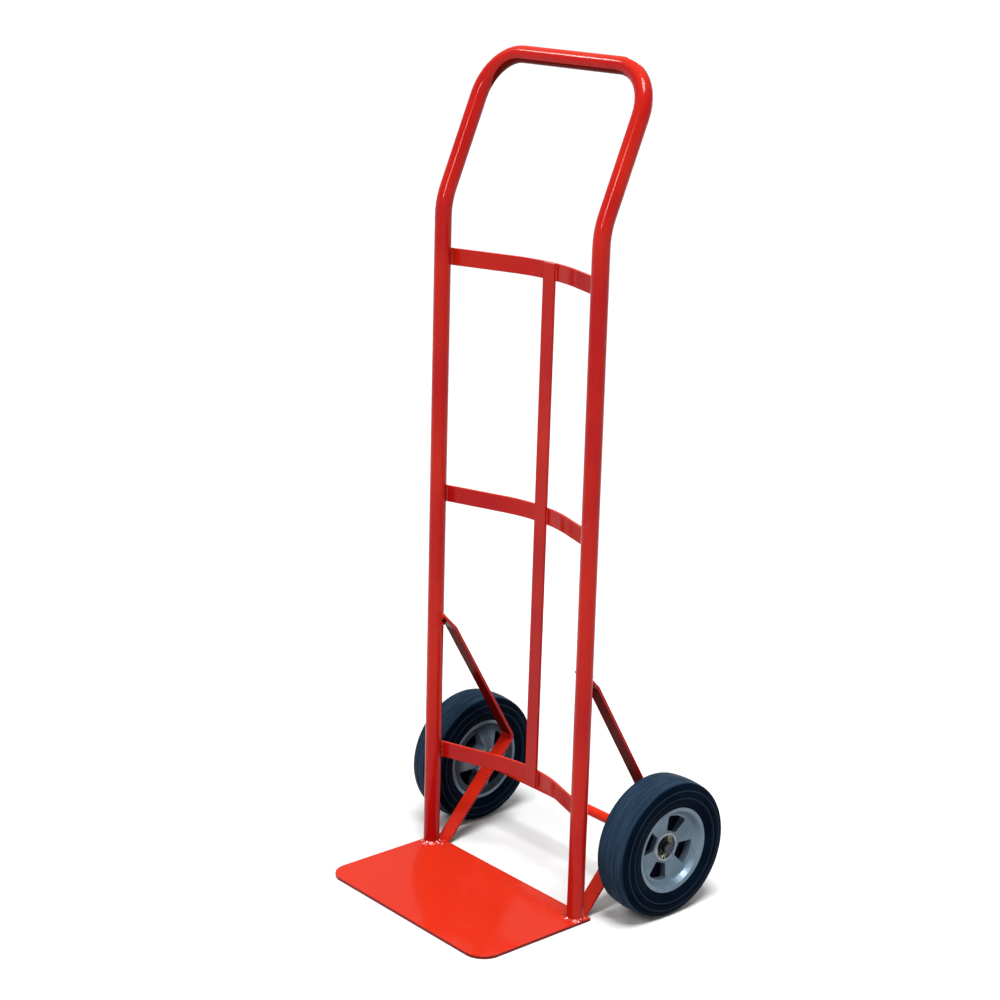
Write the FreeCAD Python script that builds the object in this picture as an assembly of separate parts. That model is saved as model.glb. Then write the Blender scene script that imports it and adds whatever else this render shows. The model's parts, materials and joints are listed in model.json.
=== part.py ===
import FreeCAD, Part
import math
import os

# Hand truck: a bent-tube frame with a toe plate, bowed cross bars, V-shaped side
# braces, a through axle and two solid-rubber wheels on pressed two-disc hubs.
# Millimetres. +Z up, +X to the right as seen from the front, toe plate towards -Y.
# Everything is laid out from the uprights' plane (y = 0) and moved at export so that
# the origin lies on the floor under the middle of the bounding box.

# ---- frame tube
TUBE_D = 25.4
TUBE_WALL = 1.9
UPRIGHT_SPACING = 338.5
LEAN_START_Z = 1029.5
LEAN_DEG = 22.7
HANDLE_LENGTH = 232.0
LEAN_BEND_R = 110.0
HANDLE_CORNER_R = 68.0

# ---- toe plate
TOE_WIDTH = 368.0
TOE_REACH = 196.5
TOE_REAR = 19.0
TOE_THICKNESS = 4.76
TOE_CORNER_R = 33.0
TOE_EDGE_R = 0.9

# ---- flat bars
BAR_HEIGHT = 25.4
BAR_THICKNESS = 4.76
BAR_EDGE_R = 0.8
CROSS_BAR_Z = {"upper_cross_bar": 946.5, "middle_cross_bar": 581.2, "lower_cross_bar": 160.5}
CROSS_BAR_ARM_DEG = 17.8
CROSS_BAR_BEND_R = 230.0
CROSS_BAR_END_X = 169.0

# ---- centre strap
STRAP_WIDTH = 23.8
STRAP_THICKNESS = 4.76
STRAP_TOP_X = 9.5
STRAP_BOTTOM_X = 5.3

# ---- side braces, profile in the Y-Z plane
BRACE_CENTRE_X = 161.3
BRACE_TOP = (11.0, 379.5)
BRACE_KNEE = (25.5, 364.5)
BRACE_HEEL_Z = 152.0
BRACE_KNEE_R = 9.0
BRACE_HEEL_R = 11.0
BRACE_FOOT_OVERHANG = 0.5

# ---- axle and wheel placing
AXLE_D = 15.88
AXLE_BACK = 124.5
AXLE_HALF_LENGTH = 235.5
WHEEL_CENTRE_X = 217.0
TYRE_R = 106.5

# ---- tyre section, u across the tread and r from the axle
TYRE_HALF_WIDTH = 31.2
TYRE_SHOULDER = (23.0, 104.6)
TYRE_SIDE_TOP = (29.9, 97.3)
TYRE_SIDE_MID_R = 84.0
TYRE_BEAD = (26.7, 66.8)
TYRE_BORE_R = 54.5
TYRE_WEB_HALF_WIDTH = 2.0
SHOULDER_BULGE = 1.3
TREAD_GROOVES_U = (-14.4, -4.8, 4.8, 14.4)
TREAD_GROOVE_R = 1.8
TREAD_GROOVE_DEPTH = 1.0
SIDE_RING_RADII = (78.0, 87.5)
SIDE_RING_R = 1.5
SIDE_RING_INSET = 0.9

# ---- pressed hub discs, mid-surface in u and r from the lip to the sleeve
DISC_THICKNESS = 2.2
DISC_PATHS = {
    "outer": ((26.4, 66.4), (26.4, 61.6), (14.5, 54.5), (10.4, 22.0)),
    "inner": ((26.4, 66.4), (26.4, 61.6), (20.5, 56.5), (36.0, 22.0)),
}
DISC_RADII = {"outer": (2.4, 9.0), "inner": (2.4, 3.0)}
WINDOW_COUNT = 4
WINDOW_INNER_R = 26.5
WINDOW_OUTER_R = 50.5
WINDOW_DEG = 45.0
WINDOW_CORNER_R = 2.6
WINDOW_FLANGE_FOOT_U = {"outer": 3.5, "inner": 14.0}
WINDOW_PHASE = {
    ("left", "outer"): 82.0,
    ("left", "inner"): 37.0,
    ("right", "outer"): 67.0,
    ("right", "inner"): 22.0,
}

# ---- hub sleeve and bearings
SLEEVE_R = 22.6
SLEEVE_OUTER_X = 229.5
SLEEVE_INNER_X = 177.2
SLEEVE_BORE_R = 15.0
SLEEVE_MOUTH_R = 18.8
BEARING_R = 17.46
BEARING_WIDTH = 11.0
BEARING_RECESS = 3.0
CUP_INNER_R = 14.4
CONE_OUTER_R = 10.8
BALL_R = 2.98
BALL_CIRCLE_R = 12.6
BALL_COUNT = 12
GROOVE_R = 3.0
CONE_GROOVE_R = 3.05
SEAL_THICKNESS = 0.8
SEAL_GAP = 0.3

# ---- spacers, washers and split pins
INNER_SPACER_R = 13.0
INNER_SPACER_T = 5.6
OUTER_WASHER_R = 12.5
OUTER_WASHER_T = 2.0
WASHER_BORE_GAP = 0.3
WASHER_END_GAP = 0.3
PIN_X = 231.2
PIN_HOLE_R = 1.8
PIN_LEG_R = 1.5
PIN_LEG_LENGTH = 21.0
PIN_EYE_R = 3.2
PIN_EYE_WIRE_R = 1.12
PIN_EYE_LIFT = 1.0
PIN_TIP_LENGTH = 7.0
PIN_TIP_R = 1.08
PIN_TIP_DEG = 35.0
PIN_LEAN_DEG = 25.0

# ---- weld beads
FOOT_WELD = 3.6
BEAD_R = 2.6
STRAP_BEAD_R = 1.8
AXLE_BEAD_R = 2.2
END_BEAD_R = 2.0
BEAD_END_GAP = 1.7
# bead centres at a cross bar's end: inside the bow and on the end face, as x from the
# bar's end and y from the back of the upright
INNER_BEAD_OFFSET = (-5.5, 0.4)
END_BEAD_OFFSET = (1.2, 1.3)
BRACE_BEAD_RISE = 5.0
AXLE_BEAD_SPREAD = 5.4

TUBE_R = TUBE_D / 2
UPRIGHT_X = UPRIGHT_SPACING / 2
AXLE_R = AXLE_D / 2
AXLE_Z = TYRE_R
UPRIGHT_Y = (TOE_REACH - AXLE_BACK - TYRE_R) / 2
SIDES = {"left": -1, "right": 1}
BIG = 2000.0

V = FreeCAD.Vector
X_AXIS = V(1, 0, 0)
Y_AXIS = V(0, 1, 0)
Z_AXIS = V(0, 0, 1)

os.makedirs("parts", exist_ok=True)


def export(shape, node):
    """Write one node, moved so that the origin is under the middle of the truck."""
    placed = shape.copy()
    placed.translate(V(0, UPRIGHT_Y, 0))
    placed.exportStep("parts/" + node + ".step")
    solids = placed.Solids
    volume = sum(solid.Volume for solid in solids)
    print(node, len(solids), "solid(s)", round(volume, 1), "mm3", placed.isValid())


def group(shapes):
    """Separate solids that share one node."""
    solids = []
    for shape in shapes:
        solids.extend(shape.Solids)
    return Part.makeCompound(solids)


def box(x0, x1, y0, y1, z0, z1):
    return Part.makeBox(x1 - x0, y1 - y0, z1 - z0, V(x0, y0, z0))


def cylinder(radius, start, end):
    axis = end - start
    return Part.makeCylinder(radius, axis.Length, start, axis)


def rounded_path(corners, radii):
    """Edges of a polyline whose inner corners are rounded with the given radii."""
    edges = []
    last = corners[0]
    for before, corner, after, radius in zip(corners, corners[1:], corners[2:], radii):
        to_before = (before - corner).normalize()
        to_after = (after - corner).normalize()
        half_angle = math.acos(to_before.dot(to_after)) / 2
        tangent_length = radius / math.tan(half_angle)
        start = corner + to_before * tangent_length
        end = corner + to_after * tangent_length
        bisector = (to_before + to_after).normalize()
        centre = corner + bisector * (radius / math.sin(half_angle))
        middle = centre - bisector * radius
        edges.append(Part.makeLine(last, start))
        edges.append(Part.Arc(start, middle, end).toShape())
        last = end
    edges.append(Part.makeLine(last, corners[-1]))
    return edges


def sweep(edges, section):
    """Solid of a closed section carried along tangent-continuous edges."""
    path = Part.Wire(edges)
    return path.makePipeShell([section], True, True)


def circle_section(centre, normal, radius):
    return Part.Wire([Part.makeCircle(radius, centre, normal)])


def rounded_rectangle(centre, side_a, half_a, side_b, half_b, radius):
    """Closed wire of a rectangle with rounded corners, spanned by two unit vectors."""
    corners = []
    for sign_a, sign_b in ((-1, -1), (1, -1), (1, 1), (-1, 1)):
        corners.append(centre + side_a * (sign_a * half_a) + side_b * (sign_b * half_b))
    start = (corners[0] + corners[1]) * 0.5
    edges = rounded_path([start] + corners[1:] + [corners[0], start], [radius] * 4)
    return Part.Wire(edges)


def wheel_centre(side):
    return V(side * WHEEL_CENTRE_X, AXLE_BACK, AXLE_Z)


def revolve_about_wheel(edges, side, facing=1):
    """Revolve a closed section given in (u, r) about the axle line.

    The section's edges lie in the plane y = 0 with u along x and r along z. Facing is 1
    for u measured away from the frame and -1 for u measured towards it.
    """
    face = Part.Face(Part.Wire(edges))
    solid = face.revolve(V(0, 0, 0), X_AXIS, 360)
    if side * facing < 0:
        solid = solid.mirror(V(0, 0, 0), X_AXIS)
    solid.translate(wheel_centre(side))
    return solid


def polygon_edges(points):
    """Closed polygon in (u, r)."""
    vectors = [V(u, 0, r) for u, r in points]
    edges = []
    for start, end in zip(vectors, vectors[1:] + vectors[:1]):
        edges.append(Part.makeLine(start, end))
    return edges


def ring(u0, u1, r_inner, r_outer, side):
    """Plain ring about the axle between two u positions."""
    points = ((u0, r_inner), (u1, r_inner), (u1, r_outer), (u0, r_outer))
    return revolve_about_wheel(polygon_edges(points), side)


# ---------------------------------------------------------------- frame tube
def tube_path():
    lean = math.radians(LEAN_DEG)
    top_y = HANDLE_LENGTH * math.sin(lean)
    top_z = LEAN_START_Z + HANDLE_LENGTH * math.cos(lean)
    corners = [
        V(-UPRIGHT_X, 0, TOE_THICKNESS),
        V(-UPRIGHT_X, 0, LEAN_START_Z),
        V(-UPRIGHT_X, top_y, top_z),
        V(UPRIGHT_X, top_y, top_z),
        V(UPRIGHT_X, 0, LEAN_START_Z),
        V(UPRIGHT_X, 0, TOE_THICKNESS),
    ]
    radii = [LEAN_BEND_R, HANDLE_CORNER_R, HANDLE_CORNER_R, LEAN_BEND_R]
    return rounded_path(corners, radii)


foot = V(-UPRIGHT_X, 0, TOE_THICKNESS)
tube_solid = sweep(tube_path(), circle_section(foot, Z_AXIS, TUBE_R))
tube_bore = sweep(tube_path(), circle_section(foot, Z_AXIS, TUBE_R - TUBE_WALL))
frame_tube = tube_solid.cut(tube_bore)
export(frame_tube, "frame_tube")


# ---------------------------------------------------------------- toe plate
def toe_plate_outline():
    half = TOE_WIDTH / 2
    corners = [
        V(0, TOE_REAR, 0),
        V(-half, TOE_REAR, 0),
        V(-half, -TOE_REACH, 0),
        V(half, -TOE_REACH, 0),
        V(half, TOE_REAR, 0),
        V(0, TOE_REAR, 0),
    ]
    rear_corner_r = 1.5
    radii = [rear_corner_r, TOE_CORNER_R, TOE_CORNER_R, rear_corner_r]
    return Part.Face(Part.Wire(rounded_path(corners, radii)))


toe_plate = toe_plate_outline().extrude(V(0, 0, TOE_THICKNESS))
top_edges = [edge for edge in toe_plate.Edges if edge.BoundBox.ZMin > TOE_THICKNESS - 0.01]
toe_plate = toe_plate.makeFillet(TOE_EDGE_R, top_edges)
export(toe_plate, "toe_plate")


# ---------------------------------------------------------------- cross bars
def cross_bar_apex_y():
    """Where the arms' centre planes meet; the bar's ends touch the uprights' backs."""
    slope = math.radians(CROSS_BAR_ARM_DEG)
    end_y = TUBE_R + BAR_THICKNESS / 2 / math.cos(slope)
    return end_y + CROSS_BAR_END_X * math.tan(slope)


def cross_bar(z):
    """Flat bar on edge, bowed to the rear, ending against the backs of the uprights."""
    slope = math.radians(CROSS_BAR_ARM_DEG)
    apex_y = cross_bar_apex_y()
    reach = UPRIGHT_X + TUBE_D
    end_y = apex_y - reach * math.tan(slope)
    corners = [V(-reach, end_y, z), V(0, apex_y, z), V(reach, end_y, z)]
    across = V(-math.sin(slope), math.cos(slope), 0)
    section = rounded_rectangle(
        corners[0], across, BAR_THICKNESS / 2, Z_AXIS, BAR_HEIGHT / 2, BAR_EDGE_R)
    bar = sweep(rounded_path(corners, [CROSS_BAR_BEND_R]), section)
    limits = box(-CROSS_BAR_END_X, CROSS_BAR_END_X, -BIG, BIG, -BIG, BIG)
    return bar.common(limits)


def cross_bar_front_y():
    """Depth of the bars' front face at the middle of the truck."""
    slope = math.radians(CROSS_BAR_ARM_DEG)
    crown_y = cross_bar_apex_y() - CROSS_BAR_BEND_R * (1 / math.cos(slope) - 1)
    return crown_y - BAR_THICKNESS / 2


cross_bars = {}
for node, bar_z in CROSS_BAR_Z.items():
    cross_bars[node] = cross_bar(bar_z)
    export(cross_bars[node], node)


# ---------------------------------------------------------------- centre strap
strap_top = CROSS_BAR_Z["upper_cross_bar"] + BAR_HEIGHT / 2
strap_bottom = CROSS_BAR_Z["lower_cross_bar"] - BAR_HEIGHT / 2
half_strap = STRAP_WIDTH / 2
bow_r = CROSS_BAR_BEND_R + BAR_THICKNESS / 2
bow_sag = bow_r - math.sqrt(bow_r ** 2 - (STRAP_TOP_X + half_strap) ** 2)
strap_back_y = cross_bar_front_y() - bow_sag
strap_centre = V(STRAP_BOTTOM_X, strap_back_y - STRAP_THICKNESS / 2, strap_bottom)
strap_section = rounded_rectangle(
    strap_centre, X_AXIS, half_strap, Y_AXIS, STRAP_THICKNESS / 2, BAR_EDGE_R)
strap_run = V(STRAP_TOP_X - STRAP_BOTTOM_X, 0, strap_top - strap_bottom)
centre_strap = Part.Face(strap_section).extrude(strap_run)
export(centre_strap, "centre_strap")


# ---------------------------------------------------------------- axle
def axle_shaft():
    shaft = cylinder(
        AXLE_R, V(-AXLE_HALF_LENGTH, AXLE_BACK, AXLE_Z), V(AXLE_HALF_LENGTH, AXLE_BACK, AXLE_Z))
    end_chamfer = 1.2
    rims = [edge for edge in shaft.Edges if abs(edge.BoundBox.XLength) < 0.01]
    return shaft.makeChamfer(end_chamfer, rims)


def pin_direction():
    lean = math.radians(PIN_LEAN_DEG)
    return V(0, math.sin(lean), math.cos(lean))


def split_pin_hole(side):
    centre = V(side * PIN_X, AXLE_BACK, AXLE_Z)
    reach = pin_direction() * TUBE_D
    return cylinder(PIN_HOLE_R, centre - reach, centre + reach)


axle = axle_shaft()
for side in SIDES.values():
    axle = axle.cut(split_pin_hole(side))
export(axle, "axle")


# ---------------------------------------------------------------- side braces
def brace_foot():
    """Point on the toe plate from which the lower leg touches the axle's front."""
    foot_y = TOE_REAR + BRACE_FOOT_OVERHANG
    foot_z = TOE_THICKNESS
    to_axle = math.atan2(AXLE_BACK - foot_y, AXLE_Z - foot_z)
    distance = math.hypot(AXLE_BACK - foot_y, AXLE_Z - foot_z)
    offset = AXLE_R + BAR_THICKNESS / 2
    angle = to_axle - math.asin(offset / distance)
    return foot_y, foot_z, angle


def brace(side):
    foot_y, foot_z, angle = brace_foot()
    heel_y = foot_y + (BRACE_HEEL_Z - foot_z) * math.tan(angle)
    centre_x = side * BRACE_CENTRE_X
    overrun = 10.0
    start = V(centre_x, foot_y - overrun * math.sin(angle), foot_z - overrun * math.cos(angle))
    corners = [
        start,
        V(centre_x, heel_y, BRACE_HEEL_Z),
        V(centre_x, BRACE_KNEE[0], BRACE_KNEE[1]),
        V(centre_x, BRACE_TOP[0] - overrun, BRACE_TOP[1] + overrun),
    ]
    across = V(0, math.cos(angle), -math.sin(angle))
    section = rounded_rectangle(
        start, X_AXIS, BAR_HEIGHT / 2, across, BAR_THICKNESS / 2, BAR_EDGE_R)
    strip = sweep(rounded_path(corners, [BRACE_HEEL_R, BRACE_KNEE_R]), section)
    below_plate_top = box(-BIG, BIG, -BIG, BIG, -BIG, TOE_THICKNESS)
    in_front = box(-BIG, BIG, -BIG, 0, -BIG, BIG)
    upright = cylinder(TUBE_R, V(side * UPRIGHT_X, 0, 0), V(side * UPRIGHT_X, 0, LEAN_START_Z))
    return strip.cut(below_plate_top).cut(in_front).cut(upright)


braces = {}
for name, side in SIDES.items():
    braces[name] = brace(side)
    export(braces[name], name + "_brace")


# ---------------------------------------------------------------- weld beads
def upright_core(side):
    foot_centre = V(side * UPRIGHT_X, 0, 0)
    return cylinder(TUBE_R, foot_centre, foot_centre + Z_AXIS * LEAN_START_Z)


def toe_plate_welds():
    """Fillet rings round the uprights' feet and beads along the braces' feet."""
    beads = []
    half_bar = BAR_HEIGHT / 2 - BEAD_END_GAP
    foot_y, foot_z, angle = brace_foot()
    foot_half = BAR_THICKNESS / 2 / math.cos(angle)
    for name, side in SIDES.items():
        foot_centre = V(side * UPRIGHT_X, 0, TOE_THICKNESS)
        fillet = Part.makeCone(TUBE_R + FOOT_WELD, TUBE_R, FOOT_WELD, foot_centre)
        over_plate = box(-TOE_WIDTH / 2, TOE_WIDTH / 2, -BIG, foot_y - foot_half, 0, BIG)
        fillet = fillet.common(over_plate).cut(upright_core(side)).cut(braces[name])
        beads.append(fillet)
        start_x = side * BRACE_CENTRE_X - half_bar
        end_x = side * BRACE_CENTRE_X + half_bar
        bead_y = TOE_REAR + BEAD_R / 2
        bead_z = TOE_THICKNESS - BEAD_R / 2
        bead = cylinder(BEAD_R, V(start_x, bead_y, bead_z), V(end_x, bead_y, bead_z))
        beads.append(bead.cut(toe_plate).cut(braces[name]))
    return beads


def cross_bar_welds():
    """Upright beads on both sides of each bar end, inside the bow and on the end face."""
    beads = []
    half_bead = BAR_HEIGHT / 2 - BEAD_END_GAP
    kinds = ((INNER_BEAD_OFFSET, BEAD_R), (END_BEAD_OFFSET, END_BEAD_R))
    for node, bar in cross_bars.items():
        bar_z = CROSS_BAR_Z[node]
        for side in SIDES.values():
            for (offset_x, offset_y), bead_r in kinds:
                bead_x = side * (CROSS_BAR_END_X + offset_x)
                bead_y = TUBE_R + offset_y
                low = V(bead_x, bead_y, bar_z - half_bead)
                high = V(bead_x, bead_y, bar_z + half_bead)
                beads.append(cylinder(bead_r, low, high).cut(upright_core(side)).cut(bar))
    return beads


def strap_welds():
    """Beads up both edges of the strap where it crosses each bar."""
    beads = []
    half_bead = BAR_HEIGHT / 2 - BEAD_END_GAP
    bead_y = strap_back_y - STRAP_BEAD_R / 3
    for node, bar in cross_bars.items():
        bar_z = CROSS_BAR_Z[node]
        share = (bar_z - strap_bottom) / strap_run.z
        middle_x = STRAP_BOTTOM_X + strap_run.x * share
        for sign in (-1, 1):
            bead_x = middle_x + sign * (half_strap + STRAP_BEAD_R / 3)
            low = V(bead_x, bead_y, bar_z - half_bead)
            high = V(bead_x, bead_y, bar_z + half_bead)
            beads.append(cylinder(STRAP_BEAD_R, low, high).cut(centre_strap).cut(bar))
    return beads


def brace_welds():
    """Beads round the uprights above and below the braces' upper ends."""
    beads = []
    top_z = BRACE_TOP[1]
    for name, side in SIDES.items():
        low_x = side * BRACE_CENTRE_X - BAR_HEIGHT / 2 + BEAD_END_GAP
        high_x = side * BRACE_CENTRE_X + BAR_HEIGHT / 2 - BEAD_END_GAP
        window = box(low_x, high_x, 0, BIG, 0, BIG)
        for step in (-BRACE_BEAD_RISE, BRACE_BEAD_RISE):
            centre = V(side * UPRIGHT_X, 0, top_z + step)
            hoop = Part.makeTorus(TUBE_R + BEAD_R / 4, BEAD_R, centre, Z_AXIS)
            beads.append(hoop.common(window).cut(upright_core(side)).cut(braces[name]))
    return beads


def axle_welds():
    """Beads along the axle in the corners against the braces' lower legs."""
    beads = []
    angle = brace_foot()[2]
    half_bead = BAR_HEIGHT / 2 - BEAD_END_GAP
    along = V(0, math.sin(angle), math.cos(angle))
    outward = V(0, math.cos(angle), -math.sin(angle))
    for name, side in SIDES.items():
        touch = V(side * BRACE_CENTRE_X, AXLE_BACK, AXLE_Z) - outward * AXLE_R
        for step in (-AXLE_BEAD_SPREAD, AXLE_BEAD_SPREAD):
            middle = touch + along * step + outward * (AXLE_BEAD_R / 2)
            bead = cylinder(AXLE_BEAD_R, middle - X_AXIS * half_bead, middle + X_AXIS * half_bead)
            beads.append(bead.cut(axle).cut(braces[name]))
    return beads


export(group(toe_plate_welds()), "toe_plate_welds")
export(group(cross_bar_welds()), "cross_bar_welds")
export(group(strap_welds()), "strap_welds")
export(group(brace_welds()), "brace_welds")
export(group(axle_welds()), "axle_welds")


# ---------------------------------------------------------------- wheels
def tyre_section():
    """Closed (u, r) section of the solid rubber before the hub discs are taken out."""
    shoulder_u, shoulder_r = TYRE_SHOULDER
    side_u, side_r = TYRE_SIDE_TOP
    bead_u, bead_r = TYRE_BEAD
    edges = []
    crown = (V(-shoulder_u, 0, shoulder_r), V(0, 0, TYRE_R), V(shoulder_u, 0, shoulder_r))
    edges.append(Part.Arc(*crown).toShape())
    corner_u = (shoulder_u + side_u) / 2 + SHOULDER_BULGE
    corner_r = (shoulder_r + side_r) / 2 + SHOULDER_BULGE
    for sign in (1, -1):
        shoulder = (V(sign * shoulder_u, 0, shoulder_r), V(sign * corner_u, 0, corner_r),
                    V(sign * side_u, 0, side_r))
        edges.append(Part.Arc(*shoulder).toShape())
        wall = (V(sign * side_u, 0, side_r), V(sign * TYRE_HALF_WIDTH, 0, TYRE_SIDE_MID_R),
                V(sign * bead_u, 0, bead_r))
        edges.append(Part.Arc(*wall).toShape())
        edges.append(Part.makeLine(V(sign * bead_u, 0, bead_r), V(sign * bead_u, 0, TYRE_BORE_R)))
    edges.append(Part.makeLine(V(bead_u, 0, TYRE_BORE_R), V(-bead_u, 0, TYRE_BORE_R)))
    return Part.__sortEdges__(edges)


def side_wall_u(radius):
    """How far out the side wall's arc lies at a given radius."""
    side_u, side_r = TYRE_SIDE_TOP
    bead_u, bead_r = TYRE_BEAD
    wall = Part.Arc(V(side_u, 0, side_r), V(TYRE_HALF_WIDTH, 0, TYRE_SIDE_MID_R),
                    V(bead_u, 0, bead_r)).toShape().Curve
    return wall.Center.x + math.sqrt(wall.Radius ** 2 - (radius - wall.Center.z) ** 2)


def offset_corners(points, distance):
    """Corners of a polyline shifted sideways; positive is to the left of travel."""
    shifted = []
    normals = []
    for (u0, r0), (u1, r1) in zip(points, points[1:]):
        length = math.hypot(u1 - u0, r1 - r0)
        normals.append((-(r1 - r0) / length, (u1 - u0) / length))
    for index, (u, r) in enumerate(points):
        before = normals[max(index - 1, 0)]
        after = normals[min(index, len(normals) - 1)]
        scale = distance / (1 + before[0] * after[0] + before[1] * after[1])
        shifted.append(V(u + (before[0] + after[0]) * scale, 0, r + (before[1] + after[1]) * scale))
    return shifted


def disc_face_edges(kind, distance):
    """Rounded edges and corners of one face of a pressed disc.

    The path runs from the lip to the sleeve and turns opposite ways at the lip and at the
    foot of the bowl, so the two radii change in opposite ways.
    """
    corners = offset_corners(DISC_PATHS[kind], distance)
    lip_r, bowl_r = DISC_RADII[kind]
    return rounded_path(corners, [lip_r + distance, bowl_r - distance]), corners


def pressed_disc_blank(kind):
    front_edges, front = disc_face_edges(kind, DISC_THICKNESS / 2)
    back_edges, back = disc_face_edges(kind, -DISC_THICKNESS / 2)
    closing = [Part.makeLine(front[0], back[0]), Part.makeLine(front[-1], back[-1])]
    return Part.__sortEdges__(front_edges + back_edges + closing)


def open_side(kind):
    """Everything outboard of the pressed disc's hidden face, down to the sleeve."""
    edges, corners = disc_face_edges(kind, -DISC_THICKNESS / 2)
    far_u = TYRE_HALF_WIDTH + TUBE_D
    inner_r = corners[-1].z
    outline = [corners[0], V(far_u, 0, corners[0].z), V(far_u, 0, inner_r), corners[-1]]
    for start, end in zip(outline, outline[1:]):
        edges.append(Part.makeLine(start, end))
    return Part.__sortEdges__(edges)


def window_prisms(side, facing, phase_deg, foot_u, grow):
    """Rounded ring sectors, one per window, from foot_u outwards and grown sideways."""
    inner_r = WINDOW_INNER_R - grow
    outer_r = WINDOW_OUTER_R + grow
    half = math.radians(WINDOW_DEG) / 2
    inner_half = half + grow / WINDOW_INNER_R
    outer_half = half + grow / WINDOW_OUTER_R
    length = TYRE_HALF_WIDTH + BEARING_WIDTH
    prisms = []
    for index in range(WINDOW_COUNT):
        angle = math.radians(phase_deg) + index * 2 * math.pi / WINDOW_COUNT
        points = []
        for radius, turn in ((inner_r, -inner_half), (inner_r, inner_half),
                             (outer_r, outer_half), (outer_r, 0), (outer_r, -outer_half)):
            points.append(V(0, radius * math.cos(angle + turn), radius * math.sin(angle + turn)))
        inner_a, inner_b, outer_b, outer_mid, outer_a = points
        outline = [
            Part.makeLine(inner_a, inner_b),
            Part.makeLine(inner_b, outer_b),
            Part.Arc(outer_b, outer_mid, outer_a).toShape(),
            Part.makeLine(outer_a, inner_a),
        ]
        direction = side * facing
        prism = Part.Face(Part.Wire(outline)).extrude(V(direction * length, 0, 0))
        long_edges = [edge for edge in prism.Edges if edge.BoundBox.XLength > length / 2]
        prism = prism.makeFillet(WINDOW_CORNER_R + grow, long_edges)
        prism.translate(wheel_centre(side) + V(direction * foot_u, 0, 0))
        prisms.append(prism)
    return prisms


def hub_disc(side, name, kind):
    """Pressed disc whose windows have walls turned in towards the middle of the wheel."""
    facing = 1 if kind == "outer" else -1
    phase = WINDOW_PHASE[(name, kind)]
    foot_u = WINDOW_FLANGE_FOOT_U[kind]
    disc = revolve_about_wheel(pressed_disc_blank(kind), side, facing)
    outboard = revolve_about_wheel(open_side(kind), side, facing)
    for wall in window_prisms(side, facing, phase, foot_u, DISC_THICKNESS):
        disc = disc.fuse(wall.cut(outboard))
    for window in window_prisms(side, facing, phase, 0, 0):
        disc = disc.cut(window)
    reach = X_AXIS * (TYRE_HALF_WIDTH + TUBE_D)
    centre = wheel_centre(side)
    return disc.cut(cylinder(SLEEVE_R, centre - reach, centre + reach))


def tyre(side):
    """Solid rubber ring with a thin web that carries on to the hub sleeve."""
    rubber = revolve_about_wheel(tyre_section(), side)
    rubber = rubber.cut(revolve_about_wheel(open_side("outer"), side, 1))
    rubber = rubber.cut(revolve_about_wheel(open_side("inner"), side, -1))
    web = ring(-TYRE_WEB_HALF_WIDTH, TYRE_WEB_HALF_WIDTH, SLEEVE_R, TYRE_BORE_R + TUBE_WALL, side)
    rubber = rubber.fuse(web)
    crown_drop = (TYRE_R - TYRE_SHOULDER[1]) / TYRE_SHOULDER[0] ** 2
    for groove_u in TREAD_GROOVES_U:
        tread_r = TYRE_R - crown_drop * groove_u ** 2
        circle_r = tread_r + TREAD_GROOVE_R - TREAD_GROOVE_DEPTH
        centre = wheel_centre(side) + X_AXIS * groove_u
        rubber = rubber.cut(Part.makeTorus(circle_r, TREAD_GROOVE_R, centre, X_AXIS))
    for ring_r in SIDE_RING_RADII:
        for sign in (-1, 1):
            offset_x = sign * (side_wall_u(ring_r) - SIDE_RING_INSET)
            centre = wheel_centre(side) + X_AXIS * offset_x
            rubber = rubber.fuse(Part.makeTorus(ring_r, SIDE_RING_R, centre, X_AXIS))
    return rubber


def hub_sleeve(side):
    outer_u = SLEEVE_OUTER_X - WHEEL_CENTRE_X
    inner_u = SLEEVE_INNER_X - WHEEL_CENTRE_X
    seat = BEARING_WIDTH + BEARING_RECESS
    chamfer = 0.8
    points = (
        (inner_u, SLEEVE_MOUTH_R), (inner_u + BEARING_RECESS, SLEEVE_MOUTH_R),
        (inner_u + BEARING_RECESS, BEARING_R), (inner_u + seat, BEARING_R),
        (inner_u + seat, SLEEVE_BORE_R), (outer_u - seat, SLEEVE_BORE_R),
        (outer_u - seat, BEARING_R), (outer_u - BEARING_RECESS, BEARING_R),
        (outer_u - BEARING_RECESS, SLEEVE_MOUTH_R), (outer_u, SLEEVE_MOUTH_R),
        (outer_u, SLEEVE_R - chamfer), (outer_u - chamfer, SLEEVE_R),
        (inner_u + chamfer, SLEEVE_R), (inner_u, SLEEVE_R - chamfer),
    )
    return revolve_about_wheel(polygon_edges(points), side)


def bearing_centres():
    half = BEARING_WIDTH / 2 + BEARING_RECESS
    return (SLEEVE_OUTER_X - WHEEL_CENTRE_X - half, SLEEVE_INNER_X - WHEEL_CENTRE_X + half)


def groove(u, radius, side):
    centre = V(side * (WHEEL_CENTRE_X + u), AXLE_BACK, AXLE_Z)
    return Part.makeTorus(BALL_CIRCLE_R, radius, centre, X_AXIS)


def bearing_cups(side):
    cups = []
    half = BEARING_WIDTH / 2
    for u in bearing_centres():
        cup = ring(u - half, u + half, CUP_INNER_R, BEARING_R, side)
        cups.append(cup.cut(groove(u, GROOVE_R, side)))
    return group(cups)


def bearing_cones(side):
    cones = []
    half = BEARING_WIDTH / 2
    for u in bearing_centres():
        cone = ring(u - half, u + half, AXLE_R, CONE_OUTER_R, side)
        cones.append(cone.cut(groove(u, CONE_GROOVE_R, side)))
    return group(cones)


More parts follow.
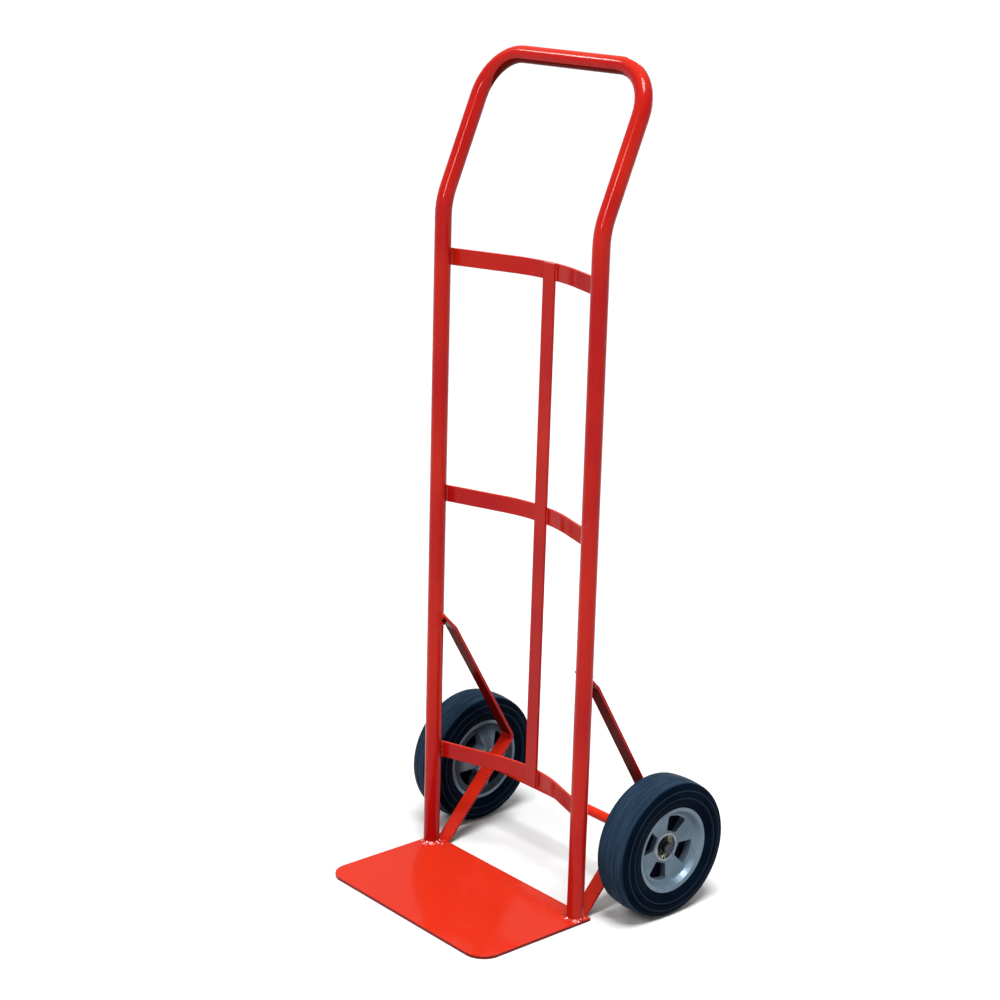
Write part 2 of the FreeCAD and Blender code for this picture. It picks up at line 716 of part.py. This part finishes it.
def bearing_balls(side):
    balls = []
    for u in bearing_centres():
        for index in range(BALL_COUNT):
            angle = 2 * math.pi * index / BALL_COUNT
            centre = V(side * (WHEEL_CENTRE_X + u), AXLE_BACK + BALL_CIRCLE_R * math.cos(angle),
                       AXLE_Z + BALL_CIRCLE_R * math.sin(angle))
            balls.append(Part.makeSphere(BALL_R, centre))
    return group(balls)


def bearing_seals(side):
    """Thin shields fixed in the cups, just clear of the cones."""
    seals = []
    half = BEARING_WIDTH / 2
    for u in bearing_centres():
        for face_u in (u - half, u + half - SEAL_THICKNESS):
            seals.append(ring(face_u, face_u + SEAL_THICKNESS, CONE_OUTER_R + SEAL_GAP,
                              CUP_INNER_R, side))
    return group(seals)


def washer(inner_u, thickness, radius, side):
    return ring(inner_u, inner_u + thickness, AXLE_R + WASHER_BORE_GAP / 2, radius, side)


def split_pin(side):
    """Round-wire split pin: an eye, a double leg and two spread tips."""
    centre = V(side * PIN_X, AXLE_BACK, AXLE_Z)
    along = pin_direction()
    across = along.cross(X_AXIS)
    top = centre + along * (AXLE_R + PIN_EYE_LIFT)
    bottom = top - along * PIN_LEG_LENGTH
    leg = cylinder(PIN_LEG_R, bottom, top)
    eye_centre = top + along * PIN_EYE_R
    eye = Part.makeTorus(PIN_EYE_R, PIN_EYE_WIRE_R, eye_centre, X_AXIS)
    pin = leg.fuse(eye)
    for sign in (-1, 1):
        spread = math.radians(PIN_TIP_DEG) * sign
        direction = along * -math.cos(spread) + across * math.sin(spread)
        tip = cylinder(PIN_TIP_R, bottom + along * PIN_TIP_R, bottom + direction * PIN_TIP_LENGTH)
        pin = pin.fuse(tip)
    return pin


for name, side in SIDES.items():
    export(tyre(side), name + "_tyre")
    export(hub_disc(side, name, "outer"), name + "_hub_outer_disc")
    export(hub_disc(side, name, "inner"), name + "_hub_inner_disc")
    export(hub_sleeve(side), name + "_hub_sleeve")
    export(bearing_cups(side), name + "_bearing_cups")
    export(bearing_balls(side), name + "_bearing_balls")
    export(bearing_seals(side), name + "_bearing_seals")
    export(bearing_cones(side), name + "_bearing_cones")
    inner_face_u = SLEEVE_INNER_X - WHEEL_CENTRE_X + BEARING_RECESS - WASHER_END_GAP
    spacer = washer(inner_face_u - INNER_SPACER_T, INNER_SPACER_T, INNER_SPACER_R, side)
    export(spacer, name + "_inner_spacer")
    outer_face_u = SLEEVE_OUTER_X - WHEEL_CENTRE_X - BEARING_RECESS + WASHER_END_GAP
    end_washer = washer(outer_face_u, OUTER_WASHER_T, OUTER_WASHER_R, side)
    export(end_washer, name + "_outer_washer")
    export(split_pin(side), name + "_split_pin")
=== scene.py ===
import json
import math
import random

import bmesh
import bpy
from mathutils import Matrix, Vector


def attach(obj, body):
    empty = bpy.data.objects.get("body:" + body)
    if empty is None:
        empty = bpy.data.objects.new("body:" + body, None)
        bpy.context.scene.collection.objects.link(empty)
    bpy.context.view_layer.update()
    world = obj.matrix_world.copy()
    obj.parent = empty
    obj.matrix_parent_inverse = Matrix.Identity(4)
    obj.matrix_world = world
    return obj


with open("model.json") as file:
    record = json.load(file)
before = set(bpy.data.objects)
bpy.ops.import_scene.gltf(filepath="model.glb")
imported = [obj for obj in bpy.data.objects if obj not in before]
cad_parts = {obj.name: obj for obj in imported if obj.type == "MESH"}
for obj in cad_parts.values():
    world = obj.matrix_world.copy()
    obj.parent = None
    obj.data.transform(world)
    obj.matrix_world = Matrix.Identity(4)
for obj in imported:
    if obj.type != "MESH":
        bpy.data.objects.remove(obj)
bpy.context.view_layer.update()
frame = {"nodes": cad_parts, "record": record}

# Hand truck: red painted tube frame, solid rubber wheels on pressed grey hubs.
# Metres, +Z up, toe plate towards -Y, the frame's own origin.

nodes = frame["nodes"]

# ------------------------------------------------------------------ camera placing
CAMERA_AIM = Vector((-0.02536, -0.01725, 0.60578))
CAMERA_AZIMUTH = math.radians(48.776)
CAMERA_ELEVATION = math.radians(16.031)
CAMERA_ROLL = math.radians(1.569)
CAMERA_DISTANCE = 3.17154
CAMERA_LENS = 77.39
SENSOR_WIDTH = 36.0

# ------------------------------------------------------------------ floor and sky
FLOOR_HALF = 40.0
HORIZON_TOP = 0.14
HORIZON_FADE = 0.1
SKY_STRENGTH = 0.5

# ------------------------------------------------------------------ truck sizes
UPRIGHT_X = 0.16925
UPRIGHT_Y = -0.01725
TUBE_R = 0.0127
PLATE_TOP_Z = 0.00476
WHEEL_CENTRE_X = 0.217
WHEEL_CENTRE_Y = 0.10725
WHEEL_CENTRE_Z = 0.1065
TREAD_FROM_R = 0.1025
WEB_TO_R = 0.060
GROOVE_TO_R = 0.0625
# radii of the painted highlight lines round the tyre's side walls
SIDE_RING_RADII = (0.0820, 0.0935)
SIDE_RING_HALF_WIDTH = 0.0016
AXLE_BARE_FROM_X = 0.186

# ------------------------------------------------------------------ weld spatter
SPATTER_COUNT = 150
SPATTER_SEED = 11
SPATTER_MAX_X = 0.181
SPATTER_MAX_Y = 0.0


# ------------------------------------------------------------------ node helpers
class Tree:
    """A material's node tree with short ways to add and join nodes."""

    def __init__(self, material):
        material.use_nodes = True
        self.tree = material.node_tree
        self.tree.nodes.clear()
        self.shader = self.add("ShaderNodeBsdfPrincipled")
        output = self.add("ShaderNodeOutputMaterial")
        self.join(self.shader.outputs["BSDF"], output.inputs["Surface"])
        self.place = self.add("ShaderNodeTexCoord").outputs["Object"]

    def add(self, kind):
        return self.tree.nodes.new(kind)

    def join(self, source, target):
        self.tree.links.new(source, target)

    def feed(self, socket, value):
        """Set a socket to a number or colour, or link another socket to it."""
        if isinstance(value, bpy.types.NodeSocket):
            self.join(value, socket)
        elif isinstance(value, tuple) and len(value) == 3 and socket.type == "RGBA":
            socket.default_value = (*value, 1.0)
        else:
            socket.default_value = value

    def stretched(self, scale):
        """Object coordinates scaled differently along each axis."""
        mapping = self.add("ShaderNodeMapping")
        self.join(self.place, mapping.inputs["Vector"])
        mapping.inputs["Scale"].default_value = scale
        return mapping.outputs["Vector"]

    def noise(self, scale, detail=4.0, roughness=0.55, distortion=0.0, place=None):
        node = self.add("ShaderNodeTexNoise")
        self.join(place or self.place, node.inputs["Vector"])
        node.inputs["Scale"].default_value = scale
        node.inputs["Detail"].default_value = detail
        node.inputs["Roughness"].default_value = roughness
        node.inputs["Distortion"].default_value = distortion
        return node.outputs["Fac"]

    def cells(self, scale, randomness=1.0):
        node = self.add("ShaderNodeTexVoronoi")
        self.join(self.place, node.inputs["Vector"])
        node.inputs["Scale"].default_value = scale
        node.inputs["Randomness"].default_value = randomness
        return node.outputs["Distance"]

    def span(self, value, low, high, out_low=0.0, out_high=1.0):
        """Smooth step of a value from one range to another."""
        node = self.add("ShaderNodeMapRange")
        node.interpolation_type = "SMOOTHSTEP"
        self.feed(node.inputs["Value"], value)
        node.inputs["From Min"].default_value = low
        node.inputs["From Max"].default_value = high
        node.inputs["To Min"].default_value = out_low
        node.inputs["To Max"].default_value = out_high
        return node.outputs["Result"]

    def math(self, operation, first, second=0.0):
        node = self.add("ShaderNodeMath")
        node.operation = operation
        self.feed(node.inputs[0], first)
        self.feed(node.inputs[1], second)
        return node.outputs["Value"]

    def mix(self, share, first, second):
        """Colour mix."""
        node = self.add("ShaderNodeMix")
        node.data_type = "RGBA"
        self.feed(node.inputs["Factor"], share)
        self.feed(node.inputs["A"], first)
        self.feed(node.inputs["B"], second)
        return node.outputs["Result"]

    def axis(self, name):
        node = self.add("ShaderNodeSeparateXYZ")
        self.join(self.place, node.inputs["Vector"])
        return node.outputs[name]

    def facing(self, name):
        """One component of the surface's own direction in the truck's frame."""
        node = self.add("ShaderNodeSeparateXYZ")
        self.join(self.add("ShaderNodeNewGeometry").outputs["Normal"], node.inputs["Vector"])
        return node.outputs[name]

    def wheel_radius(self):
        """Distance from the wheel's own axle line."""
        across = self.math("SUBTRACT", self.axis("Y"), WHEEL_CENTRE_Y)
        upwards = self.math("SUBTRACT", self.axis("Z"), WHEEL_CENTRE_Z)
        squares = self.math("ADD", self.math("POWER", across, 2.0), self.math("POWER", upwards, 2.0))
        return self.math("SQRT", squares)

    def bump(self, height, strength, distance, before=None):
        node = self.add("ShaderNodeBump")
        node.inputs["Strength"].default_value = strength
        node.inputs["Distance"].default_value = distance
        self.join(height, node.inputs["Height"])
        if before is not None:
            self.join(before, node.inputs["Normal"])
        return node.outputs["Normal"]

    def finish(self, color, roughness, metallic, normal, **fixed):
        self.feed(self.shader.inputs["Base Color"], color)
        self.feed(self.shader.inputs["Roughness"], roughness)
        self.feed(self.shader.inputs["Metallic"], metallic)
        self.join(normal, self.shader.inputs["Normal"])
        for name, value in fixed.items():
            self.shader.inputs[name.replace("_", " ")].default_value = value


# ------------------------------------------------------------------ materials
UNDERSIDE = (-0.395, -0.42)
RED = (0.275, 0.0025, 0.0028)
RED_DEEP = (0.20, 0.0015, 0.0015)
RED_ORANGE = (0.335, 0.0090, 0.0030)
# lighter and darker copies of the red below stand in for painted light and painted shade
RED_TOP_LIGHT = (0.405, 0.0170, 0.0055)
RED_SHADE = (0.050, 0.002, 0.001)
RED_AXLE_LIT = (0.56, 0.022, 0.008)
BARE_STEEL = (0.33, 0.33, 0.34)
# painted shade colour for the groove in the hub
GROOVE_SHADE = (0.010, 0.016, 0.026)


def enamel(tree, chip_from, ripple=None):
    """Gloss red enamel with orange peel, soft colour drift, a few spots of wear, painted light on
    faces turned up and painted shade on faces turned down and on the toe plate's edges.
    """
    drift = tree.span(tree.noise(5.0, 3.0), 0.35, 0.68)
    color = tree.mix(drift, RED, RED_ORANGE)
    blotch = tree.span(tree.noise(24.0, 5.0, 0.6, 0.6), 0.56, 0.80, 0.0, 0.30)
    color = tree.mix(blotch, color, RED_DEEP)
    # painted light: faces turned up are mixed towards a lighter orange red
    faces_up = tree.span(tree.facing("Z"), 0.25, 0.95)
    color = tree.mix(faces_up, color, RED_TOP_LIGHT)
    # painted shade: faces turned down are mixed towards a near-black red
    faces_down = tree.span(tree.facing("Z"), *UNDERSIDE, 0.0, 0.9)
    color = tree.mix(faces_down, color, RED_SHADE)
    # painted shade: the toe plate's edge faces below its top are darkened
    rim = tree.span(tree.axis("Z"), PLATE_TOP_Z - 0.0002, PLATE_TOP_Z - 0.0009, 0.0, 0.75)
    color = tree.mix(rim, color, RED_SHADE)
    chips = tree.span(tree.noise(150.0, 6.0, 0.62), chip_from, chip_from + 0.015)
    patches = tree.span(tree.noise(11.0, 2.0), 0.52, 0.66)
    bare = tree.math("MULTIPLY", chips, patches)
    low = tree.span(tree.axis("Z"), 0.14, 0.0)
    dust = tree.math("MULTIPLY", low, tree.span(tree.noise(38.0, 6.0, 0.65), 0.54, 0.80, 0.0, 0.10))
    color = tree.mix(dust, color, (0.30, 0.10, 0.07))
    color = tree.mix(bare, color, BARE_STEEL)
    rough = tree.span(tree.noise(42.0, 5.0), 0.3, 0.75, 0.12, 0.21)
    rough = tree.math("ADD", rough, tree.math("MULTIPLY", dust, 0.5))
    peel = tree.bump(tree.noise(420.0, 2.0), 0.10, 0.0006)
    wave = tree.bump(tree.noise(26.0, 3.0), 0.10, 0.0014, peel)
    normal = tree.bump(tree.math("SUBTRACT", 1.0, bare), 0.4, 0.0003, wave)
    if ripple is not None:
        normal = tree.bump(ripple, 0.8, 0.0012, normal)
    return color, rough, bare, normal


def paint_frame(tree):
    """Gloss enamel with painted shade and less gloss on faces turned down."""
    color, rough, bare, normal = enamel(tree, 0.69)
    underside_shade = tree.span(tree.facing("Z"), *UNDERSIDE)
    # less gloss on faces turned down deepens the painted shade there
    tree.feed(tree.shader.inputs["Specular IOR Level"], tree.span(underside_shade, 0.0, 1.0, 0.09, 0.01))
    tree.feed(tree.shader.inputs["Coat Weight"], tree.span(underside_shade, 0.0, 1.0, 0.16, 0.0))
    tree.finish(color, rough, bare, normal, Coat_Roughness=0.04, Coat_IOR=1.4)


def paint_welds(tree):
    """Lumpy enamel with painted highlight specks on the low beads at the toe plate."""
    lumps = tree.noise(330.0, 3.0, 0.6, 0.5)
    color, rough, bare, normal = enamel(tree, 0.62, ripple=lumps)
    # painted highlight: pinkish white specks stand in for glints on the beads
    painted_glint = tree.span(tree.cells(300.0), 0.34, 0.26)
    low_beads = tree.span(tree.axis("Z"), 0.016, 0.012)
    painted_glint = tree.math("MULTIPLY", painted_glint, tree.span(tree.noise(70.0, 2.0), 0.46, 0.52))
    painted_glint = tree.math("MULTIPLY", painted_glint, low_beads)
    color = tree.mix(painted_glint, color, (0.95, 0.80, 0.78))
    tree.finish(color, rough, bare, normal, Specular_IOR_Level=0.3,
                Coat_Weight=0.2, Coat_Roughness=0.12, Coat_IOR=1.45)


def paint_axle(tree):
    """Enamel brightened as painted light in the middle, and bare turned steel darkened as painted
    shade within the wheels.
    """
    color, rough, bare, normal = enamel(tree, 0.68)
    # painted light: the middle of the axle is mixed towards a lit orange red
    color = tree.mix(0.8, color, RED_AXLE_LIT)
    across = tree.math("ABSOLUTE", tree.axis("X"))
    wander = tree.span(tree.noise(60.0, 4.0), 0.3, 0.7, -0.003, 0.003)
    end = tree.math("ADD", across, wander)
    steel = tree.span(end, AXLE_BARE_FROM_X - 0.001, AXLE_BARE_FROM_X + 0.001)
    turned = tree.noise(1.0, 3.0, 0.6, 0.0, tree.stretched((900.0, 40.0, 40.0)))
    # painted shade: the bare steel ends are darkened to the shade in the hub's bore; the rust is
    # their own
    grey = tree.mix(tree.span(turned, 0.3, 0.7), (0.020, 0.026, 0.034), (0.060, 0.070, 0.080))
    rust = tree.span(tree.noise(140.0, 6.0, 0.7), 0.58, 0.72, 0.0, 0.7)
    grey = tree.mix(rust, grey, (0.20, 0.12, 0.07))
    color = tree.mix(steel, color, grey)
    rough = tree.math("ADD", rough, tree.math("MULTIPLY", steel, 0.12))
    metal = tree.math("MAXIMUM", bare, tree.math("MULTIPLY", steel, 0.9))
    tree.finish(color, rough, metal, normal, Specular_IOR_Level=0.06)


def rubber(tree):
    """Dark blue-black rubber with painted highlight rings on the side walls, painted shade in the
    hub's hollow and a tread lightened by wear and painted sheen.
    """
    patch = tree.span(tree.noise(16.0, 5.0, 0.6, 0.4), 0.36, 0.70)
    color = tree.mix(patch, (0.0007, 0.0023, 0.0066), (0.0014, 0.0043, 0.0106))
    scuff = tree.noise(1.0, 6.0, 0.7, 0.3, tree.stretched((60.0, 260.0, 260.0)))
    dusty = tree.span(scuff, 0.60, 0.82, 0.0, 0.08)
    color = tree.mix(dusty, color, (0.035, 0.045, 0.06))
    radius = tree.wheel_radius()
    # painted highlight: lighter lines round the side walls
    for ring_radius in SIDE_RING_RADII:
        gap = tree.math("ABSOLUTE", tree.math("SUBTRACT", radius, ring_radius))
        line = tree.span(gap, SIDE_RING_HALF_WIDTH, 0.0, 0.0, 0.34)
        color = tree.mix(line, color, (0.030, 0.055, 0.085))
    # the tread is lightened partly as wear and partly as painted sheen
    tread = tree.span(radius, TREAD_FROM_R, TREAD_FROM_R + 0.0025, 0.0, 0.8)
    streaks = tree.noise(1.0, 4.0, 0.6, 0.0, tree.stretched((520.0, 14.0, 14.0)))
    wear_and_sheen = tree.mix(tree.span(streaks, 0.35, 0.68), (0.008, 0.018, 0.034), (0.022, 0.042, 0.070))
    color = tree.mix(tread, color, wear_and_sheen)
    # painted shade: the rubber within the hub's hollow is darkened
    inside = tree.span(radius, WEB_TO_R, WEB_TO_R - 0.004)
    color = tree.mix(inside, color, (0.003, 0.004, 0.008))
    rough = tree.span(tree.noise(70.0, 5.0), 0.3, 0.72, 0.30, 0.42)
    grain = tree.bump(tree.noise(900.0, 3.0), 0.18, 0.0005)
    flow = tree.bump(tree.noise(34.0, 4.0, 0.6, 0.8), 0.20, 0.0014, grain)
    tree.finish(color, rough, 0.0, flow, Specular_IOR_Level=0.008)


def hub(tree):
    """Satin blue-grey pressed metal, stained, with painted shade in the groove on the frame's side.
    """
    drift = tree.span(tree.noise(14.0, 4.0, 0.6, 0.5), 0.34, 0.70)
    color = tree.mix(drift, (0.070, 0.108, 0.145), (0.115, 0.165, 0.21))
    drawn = tree.noise(1.0, 4.0, 0.6, 0.0, tree.stretched((40.0, 420.0, 420.0)))
    color = tree.mix(tree.span(drawn, 0.52, 0.80, 0.0, 0.35), color, (0.26, 0.33, 0.39))
    stain = tree.span(tree.noise(95.0, 6.0, 0.7), 0.60, 0.76, 0.0, 0.5)
    color = tree.mix(stain, color, (0.16, 0.14, 0.13))
    radius = tree.wheel_radius()
    # painted shade: the groove below the lip on the frame's side is darkened
    off_middle = tree.math("ABSOLUTE", tree.axis("X"))
    inboard = tree.span(off_middle, WHEEL_CENTRE_X, WHEEL_CENTRE_X - 0.004, 0.0, 0.88)
    below_lip = tree.span(radius, GROOVE_TO_R, GROOVE_TO_R - 0.002)
    groove = tree.math("MULTIPLY", below_lip, tree.span(radius, 0.036, 0.054))
    color = tree.mix(tree.math("MULTIPLY", inboard, groove), color, GROOVE_SHADE)
    rough = tree.span(tree.noise(58.0, 5.0), 0.3, 0.72, 0.30, 0.48)
    grain = tree.bump(tree.noise(520.0, 3.0), 0.16, 0.0004)
    dents = tree.bump(tree.noise(30.0, 3.0), 0.22, 0.0016, grain)
    tree.finish(color, rough, 0.45, dents, Specular_IOR_Level=0.25)


def steel(tree, dark, light, tint, low_rough, high_rough, metallic, line_scale):
    """Turned or plated steel: fine lines, blotches of tint, small pits."""
    lines = tree.noise(1.0, 4.0, 0.6, 0.0, tree.stretched((line_scale, 60.0, 60.0)))
    color = tree.mix(tree.span(lines, 0.3, 0.72), dark, light)
    blotch = tree.span(tree.noise(110.0, 6.0, 0.7), 0.52, 0.74, 0.0, 0.75)
    color = tree.mix(blotch, color, tint)
    rough = tree.span(tree.noise(160.0, 4.0), 0.3, 0.7, low_rough, high_rough)
    pits = tree.bump(tree.noise(640.0, 4.0, 0.6), 0.25, 0.0004)
    turned = tree.bump(lines, 0.15, 0.0003, pits)
    tree.finish(color, rough, metallic, turned, Specular_IOR_Level=0.5)


def sleeve(tree):
    steel(tree, (0.14, 0.17, 0.20), (0.28, 0.32, 0.36), (0.10, 0.09, 0.05), 0.28, 0.46, 0.8, 700.0)


def bearing(tree):
    # painted shade: dark base colours stand in for the shade in the boss recess; the gold tint is
    # its own
    steel(tree, (0.04, 0.045, 0.04), (0.14, 0.14, 0.10), (0.12, 0.10, 0.03), 0.22, 0.40, 0.9, 800.0)


def seal(tree):
    color = tree.mix(tree.span(tree.noise(160.0, 5.0), 0.35, 0.7), (0.010, 0.011, 0.012),
                     (0.030, 0.027, 0.022))
    rough = tree.span(tree.noise(220.0, 4.0), 0.3, 0.7, 0.38, 0.60)
    normal = tree.bump(tree.noise(700.0, 3.0), 0.3, 0.0004)
    tree.finish(color, rough, 0.0, normal, Specular_IOR_Level=0.45)


def washers(tree):
    # painted shade: dark base colours stand in for the shade in the boss recess
    steel(tree, (0.015, 0.02, 0.02), (0.06, 0.06, 0.045), (0.10, 0.09, 0.03), 0.25, 0.45, 0.8, 600.0)


def pins(tree):
    # painted shade: darkened base colours stand in for the shade in the boss recess
    steel(tree, (0.06, 0.07, 0.07), (0.22, 0.22, 0.17), (0.14, 0.10, 0.05), 0.28, 0.45, 0.9, 500.0)


FINISHES = {
    "frame_paint": paint_frame,
    "weld_paint": paint_welds,
    "axle_paint": paint_axle,
    "tyre_rubber": rubber,
    "hub_metal": hub,
    "sleeve_steel": sleeve,
    "bearing_steel": bearing,
    "seal_rubber": seal,
    "washer_steel": washers,
    "pin_steel": pins,
}
finishes = {}
for slot_name, build in FINISHES.items():
    finishes[slot_name] = bpy.data.materials.new("finish_" + slot_name)
    build(Tree(finishes[slot_name]))

slot_of = {part["node"]: part["material_slot"] for part in frame["record"]["subparts"]}
for node_name, node in nodes.items():
    finish = finishes[slot_of[node_name]]
    if node.material_slots:
        for index in range(len(node.material_slots)):
            node.material_slots[index].material = finish
    else:
        node.data.materials.append(finish)


# ------------------------------------------------------------------ weld spatter
def add_spatter():
    """Small hard drops of weld metal stuck to the plate round the feet of the uprights."""
    chance = random.Random(SPATTER_SEED)
    mesh = bpy.data.meshes.new("weld_spatter")
    shape = bmesh.new()
    for _ in range(SPATTER_COUNT):
        side = chance.choice((-1, 1))
        turn = chance.uniform(0, 2 * math.pi)
        reach = TUBE_R + 0.0035 + abs(chance.gauss(0, 0.006))
        size = chance.uniform(0.0004, 0.0011)
        x = side * UPRIGHT_X + reach * math.cos(turn)
        y = UPRIGHT_Y + reach * math.sin(turn)
        if abs(x) > SPATTER_MAX_X or y > SPATTER_MAX_Y:
            continue
        place = Matrix.Translation((x, y, PLATE_TOP_Z + size * 0.2))
        bmesh.ops.create_icosphere(shape, subdivisions=2, radius=size, matrix=place)
    shape.to_mesh(mesh)
    shape.free()
    for polygon in mesh.polygons:
        polygon.use_smooth = True
    spatter = bpy.data.objects.new("weld_spatter", mesh)
    bpy.context.scene.collection.objects.link(spatter)
    mesh.materials.append(finishes["weld_paint"])
    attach(spatter, "frame")


add_spatter()


# ------------------------------------------------------------------ floor
def add_floor():
    mesh = bpy.data.meshes.new("floor")
    corners = [(-FLOOR_HALF, -FLOOR_HALF, 0), (FLOOR_HALF, -FLOOR_HALF, 0),
               (FLOOR_HALF, FLOOR_HALF, 0), (-FLOOR_HALF, FLOOR_HALF, 0)]
    mesh.from_pydata(corners, [], [(0, 1, 2, 3)])
    floor = bpy.data.objects.new("floor", mesh)
    bpy.context.scene.collection.objects.link(floor)
    material = bpy.data.materials.new("floor_paint")
    tree = Tree(material)
    color = tree.mix(tree.noise(3.0, 3.0), (0.56, 0.56, 0.56), (0.58, 0.58, 0.58))
    rough = tree.span(tree.noise(9.0, 3.0), 0.3, 0.7, 0.75, 0.85)
    normal = tree.bump(tree.noise(300.0, 2.0), 0.02, 0.0002)
    tree.finish(color, rough, 0.0, normal, Specular_IOR_Level=0.1)
    mesh.materials.append(material)


add_floor()


# ------------------------------------------------------------------ lights
def aim(thing, place, target):
    """Stand a light at a place and turn it towards a target."""
    direction = Vector(target) - Vector(place)
    turn = direction.to_track_quat("-Z", "Y").to_matrix().to_4x4()
    thing.matrix_world = Matrix.Translation(place) @ turn


def add_light(name, kind, place, target, energy, size):
    """Sun with its width in degrees, or panel with its two sides in metres."""
    data = bpy.data.lights.new(name, kind)
    data.energy = energy
    if kind == "SUN":
        data.angle = math.radians(size)
    else:
        data.shape = "RECTANGLE"
        data.size, data.size_y = size
    light = bpy.data.objects.new(name, data)
    bpy.context.scene.collection.objects.link(light)
    aim(light, place, target)


add_light("key", "SUN", (1.4, -1.1, 6.2), (0, 0, 0.3), 4.7, 24)
add_light("front_spot", "AREA", (0.65, -1.95, 1.95), (0.0, 0.0, 0.75), 22.0, (0.16, 0.75))
add_light("left_spot", "AREA", (-1.66, -0.75, 2.63), (0.0, 0.03, 0.9), 13.0, (0.32, 0.32))
add_light("back_rim", "AREA", (-0.9, 1.4, 1.9), (0.0, 0.05, 0.7), 7.0, (0.4, 0.4))


# ------------------------------------------------------------------ sky
def add_sky():
    """Even soft white sky, brighter near the horizon so that it meets the floor."""
    world = bpy.data.worlds.new("studio")
    world.use_nodes = True
    tree = world.node_tree
    split = tree.nodes.new("ShaderNodeSeparateXYZ")
    fade = tree.nodes.new("ShaderNodeMapRange")
    fade.inputs["From Min"].default_value = HORIZON_TOP
    fade.inputs["From Max"].default_value = HORIZON_TOP + HORIZON_FADE
    fade.inputs["To Min"].default_value = 1.0
    fade.inputs["To Max"].default_value = SKY_STRENGTH
    direction = tree.nodes.new("ShaderNodeTexCoord").outputs["Generated"]
    tree.links.new(direction, split.inputs["Vector"])
    tree.links.new(split.outputs["Z"], fade.inputs["Value"])
    background = tree.nodes["Background"]
    background.inputs["Color"].default_value = (1, 1, 1, 1)
    tree.links.new(fade.outputs["Result"], background.inputs["Strength"])
    bpy.context.scene.world = world


add_sky()

bpy.context.scene.view_settings.view_transform = "Standard"


# ------------------------------------------------------------------ camera
def add_camera():
    back = Vector((
        math.sin(CAMERA_AZIMUTH) * math.cos(CAMERA_ELEVATION),
        -math.cos(CAMERA_AZIMUTH) * math.cos(CAMERA_ELEVATION),
        math.sin(CAMERA_ELEVATION),
    ))
    level_x = Vector((0, 0, 1)).cross(back).normalized()
    level_y = back.cross(level_x)
    cos_roll = math.cos(CAMERA_ROLL)
    sin_roll = math.sin(CAMERA_ROLL)
    right = level_x * cos_roll + level_y * sin_roll
    up = level_y * cos_roll - level_x * sin_roll
    data = bpy.data.cameras.new("camera")
    data.lens = CAMERA_LENS
    data.sensor_width = SENSOR_WIDTH
    data.clip_end = 90
    camera = bpy.data.objects.new("camera", data)
    bpy.context.scene.collection.objects.link(camera)
    place = CAMERA_AIM + back * CAMERA_DISTANCE
    for row in range(3):
        camera.matrix_world[row][0] = right[row]
        camera.matrix_world[row][1] = up[row]
        camera.matrix_world[row][2] = back[row]
        camera.matrix_world[row][3] = place[row]
    bpy.context.scene.camera = camera


add_camera()
